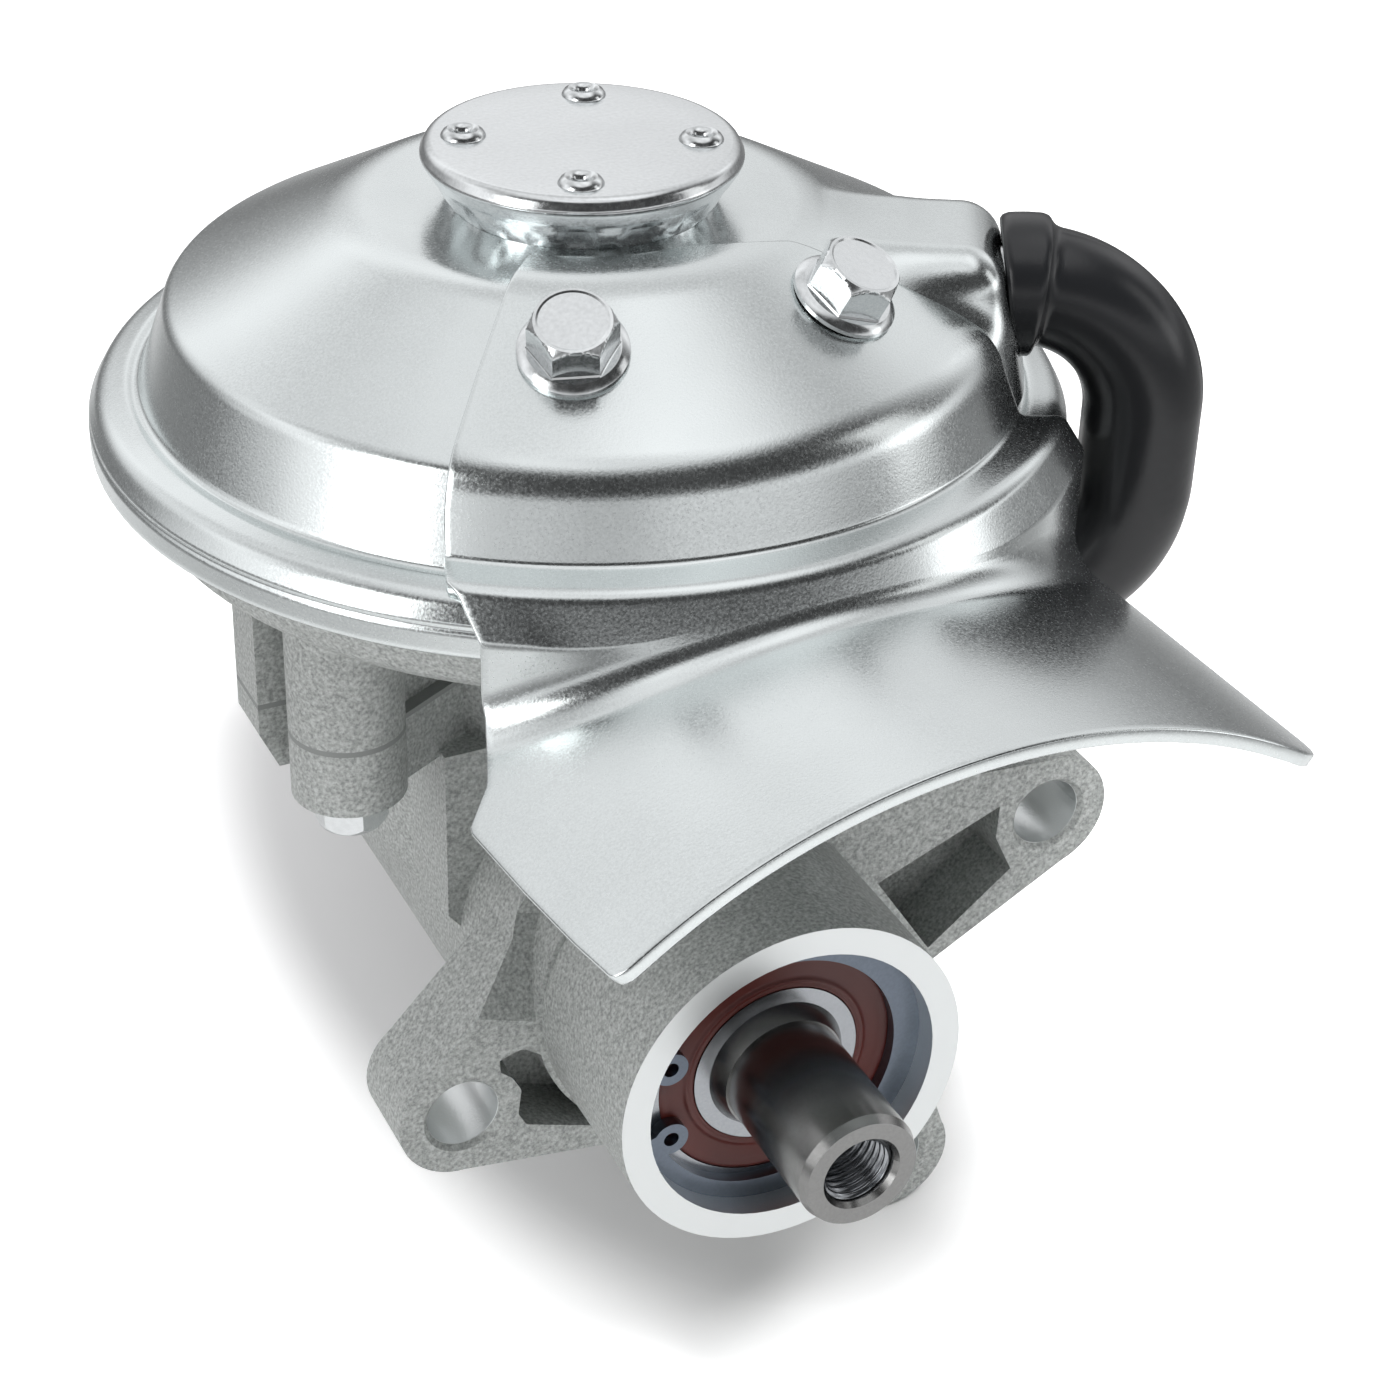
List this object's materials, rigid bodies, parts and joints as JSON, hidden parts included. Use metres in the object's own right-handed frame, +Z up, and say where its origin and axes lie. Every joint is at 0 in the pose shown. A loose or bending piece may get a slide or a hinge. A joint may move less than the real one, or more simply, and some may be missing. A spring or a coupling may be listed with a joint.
{
  "type": "engine vacuum pump",
  "caption": "Diaphragm vacuum pump: pressed-steel dome on a die-cast body with a drive shaft in an eared nose, a moulded hose elbow and a vaulted splash shield.",
  "frame": {"origin": "on the drive shaft's axis, in the plane of the nose's machined front face", "axes": "+Z up to the dome, -Y along the drive shaft out of the nose, +X to the right seen from the front"},
  "size_m": [0.1444, 0.1773, 0.1632],
  "materials": {
    "cast_aluminium": "die-cast, fine grain, machined at the nose face",
    "pressed_steel": "zinc plated and passivated sheet, satin",
    "zinc_steel": "zinc plated, bright",
    "dark_steel": "oiled, ground",
    "bearing_steel": "ground and polished",
    "black_rubber": "moulded, matt",
    "red_rubber": "moulded, matt",
    "gasket_sheet": "pressed fibre sheet, matt"
  },
  "bodies": {
    "housing": {"crankcase": "cast_aluminium", "diaphragm_housing": "cast_aluminium", "housing_gasket": "gasket_sheet", "housing_screws": "zinc_steel", "top_cover": "pressed_steel", "snout_tube": "zinc_steel", "valve_plate": "pressed_steel", "intake_valves": "black_rubber", "exhaust_valve": "black_rubber", "exhaust_sleeve": "pressed_steel", "vent_cap": "pressed_steel", "cap_rivets": "zinc_steel", "shield": "pressed_steel", "shield_bolts": "zinc_steel", "weld_nuts": "zinc_steel", "hose": "black_rubber", "port_tube": "zinc_steel", "vacuum_nipple": "zinc_steel", "diaphragm": "black_rubber", "front_bearing_outer": "bearing_steel", "front_bearing_seal": "red_rubber", "front_circlip": "dark_steel", "tail_bearing_outer": "bearing_steel", "rear_plug": "cast_aluminium", "rear_circlip": "dark_steel", "plug_ring": "black_rubber"},
    "shaft": {"drive_shaft": "dark_steel", "front_bearing_inner": "bearing_steel", "eccentric_bearing_inner": "bearing_steel", "tail_bearing_inner": "bearing_steel"},
    "rod": {"connecting_rod": "cast_aluminium", "eccentric_bearing_outer": "bearing_steel", "upper_plate": "pressed_steel", "lower_plate": "pressed_steel", "diaphragm_screw": "dark_steel"},
    "front_cage": {"front_bearing_balls": "bearing_steel"},
    "tail_cage": {"tail_bearing_balls": "bearing_steel"},
    "eccentric_cage": {"eccentric_bearing_balls": "bearing_steel"}
  },
  "joints": [
    {"name": "shaft_spin", "type": "hinge", "parent": "housing", "child": "shaft", "pos_m": [0, 0, 0], "axis": [0, 1, 0], "continuous": true},
    {"name": "rod_orbit", "type": "hinge", "parent": "shaft", "child": "rod", "pos_m": [0, 0.0716, 0.0022], "axis": [0, 1, 0], "continuous": true, "deforming": ["diaphragm"]},
    {"name": "eccentric_cage_spin", "type": "hinge", "parent": "shaft", "child": "eccentric_cage", "pos_m": [0, 0.0716, 0.0022], "axis": [0, 1, 0], "continuous": true},
    {"name": "front_cage_spin", "type": "hinge", "parent": "housing", "child": "front_cage", "pos_m": [0, 0.0114, 0], "axis": [0, 1, 0], "continuous": true},
    {"name": "tail_cage_spin", "type": "hinge", "parent": "housing", "child": "tail_cage", "pos_m": [0, 0.0936, 0], "axis": [0, 1, 0], "continuous": true}
  ],
  "couplings": [
    {"joint": "rod_orbit", "follows": "shaft_spin", "ratio": -1},
    {"joint": "eccentric_cage_spin", "follows": "shaft_spin", "ratio": -0.6024},
    {"joint": "front_cage_spin", "follows": "shaft_spin", "ratio": 0.3816},
    {"joint": "tail_cage_spin", "follows": "shaft_spin", "ratio": 0.381}
  ]
}
